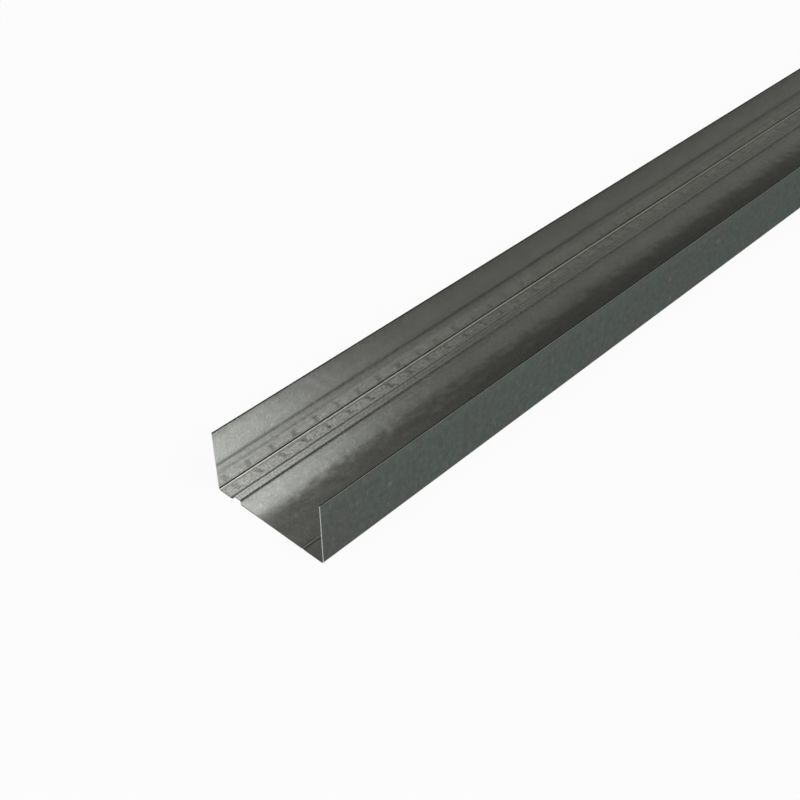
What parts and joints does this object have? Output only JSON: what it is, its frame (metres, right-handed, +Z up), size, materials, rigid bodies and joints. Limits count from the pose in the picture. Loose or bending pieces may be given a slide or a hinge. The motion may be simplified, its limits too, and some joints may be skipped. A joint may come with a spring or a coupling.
{
  "type": "drywall track",
  "caption": "Roll-formed galvanised steel channel with plain legs and shallow ribs along its web, which holds the ends of wall studs at a floor or ceiling.",
  "frame": {"origin": "middle of the web's underside, half way along the track", "axes": "+X across the web to the right leg, +Y along the track, +Z up the legs, away from the floor"},
  "size_m": [0.0644, 3.048, 0.0318],
  "materials": {
    "galvanised_steel": "hot-dip galvanised sheet, skin-passed and roll formed, satin with faint roll marks"
  },
  "bodies": {
    "root": {"track": "galvanised_steel"}
  },
  "joints": []
}
